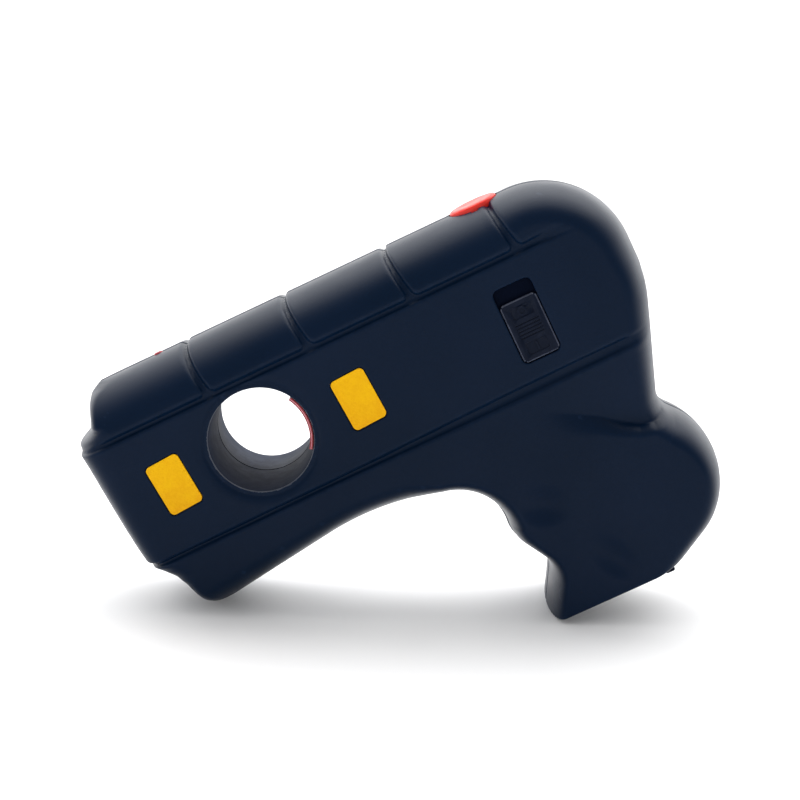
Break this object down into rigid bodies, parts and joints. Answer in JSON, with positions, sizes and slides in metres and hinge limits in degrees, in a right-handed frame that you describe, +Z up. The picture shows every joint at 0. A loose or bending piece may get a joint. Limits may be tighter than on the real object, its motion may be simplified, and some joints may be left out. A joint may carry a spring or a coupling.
{
  "type": "speed radar gun",
  "caption": "Pistol-shaped hand-held speed radar gun with a round cross bore, amber side markers, slide switch, red top button, trigger and sliding battery cover.",
  "frame": {"origin": "on the ground under the middle of the gun as it lies on its nose corner and grip toe", "axes": "+X towards the grip, +Y towards the gun's right side, +Z up; the barrel slopes 26.7 degrees down towards -X"},
  "size_m": [0.218, 0.052, 0.1464],
  "materials": {
    "housing": "satin moulded plastic, dark navy",
    "amber": "satin amber plastic",
    "red": "gloss red plastic",
    "red_clear": "translucent red plastic",
    "switch_black": "satin black plastic",
    "smoked": "smoked clear plastic",
    "board_green": "solder mask",
    "chip_black": "moulded epoxy",
    "copper": "bare copper",
    "tin": "tinned steel sheet",
    "steel": "plated steel",
    "screen": "liquid crystal panel in a black frame",
    "cell_skin": "printed sleeve, no text",
    "tray_black": "black plastic",
    "cable_black": "black insulation",
    "cable_red": "red insulation"
  },
  "bodies": {
    "housing": {"left_shell": "housing", "right_shell": "housing", "marker_front_left": "amber", "marker_front_right": "amber", "marker_rear_left": "amber", "marker_rear_right": "amber", "bore_window": "red_clear", "power_switch": "chip_black", "button_board": "board_green", "button_switch": "chip_black", "front_indicator_lens": "red_clear", "indicator_led": "red_clear", "led_board": "board_green", "display_window": "smoked", "display_module": "screen", "display_board": "board_green", "trigger_pin": "steel", "trigger_switch": "chip_black", "trigger_bracket": "board_green", "antenna_board": "board_green", "antenna_patches": "copper", "radar_shield": "tin", "antenna_lead": "cable_black", "main_board": "board_green", "board_chips": "chip_black", "buzzer": "chip_black", "board_screws": "steel", "case_screws": "steel", "battery_cell_1": "cell_skin", "battery_cell_2": "cell_skin", "battery_cell_3": "cell_skin", "battery_cell_4": "cell_skin", "battery_tray": "tray_black", "contact_plates": "steel", "contact_springs": "steel", "battery_leads": "cable_red"},
    "slider": {"power_slider": "switch_black"},
    "button": {"hold_button": "red"},
    "trigger": {"trigger": "switch_black", "trigger_spring": "steel"},
    "cover": {"battery_cover": "housing", "cover_contacts": "steel"}
  },
  "joints": [
    {"name": "power_slide", "type": "slide", "parent": "housing", "child": "slider", "axis": [-0.4493, 0, 0.8934], "range_m": [0, 0.0046]},
    {"name": "button_press", "type": "slide", "parent": "housing", "child": "button", "axis": [0.4493, 0, -0.8934], "range_m": [0, 0.0015], "stiffness_N_per_m": 900, "springref_m": -0.0005},
    {"name": "trigger_pull", "type": "hinge", "parent": "housing", "child": "trigger", "pos_m": [0.03407, 0, 0.04563], "axis": [0, -1, 0], "range_deg": [0, 7], "stiffness_Nm_per_rad": 0.4, "springref_deg": -5.73},
    {"name": "cover_slide", "type": "slide", "parent": "housing", "child": "cover", "axis": [0.8934, 0, 0.4493], "range_m": [0, 0.046]}
  ]
}
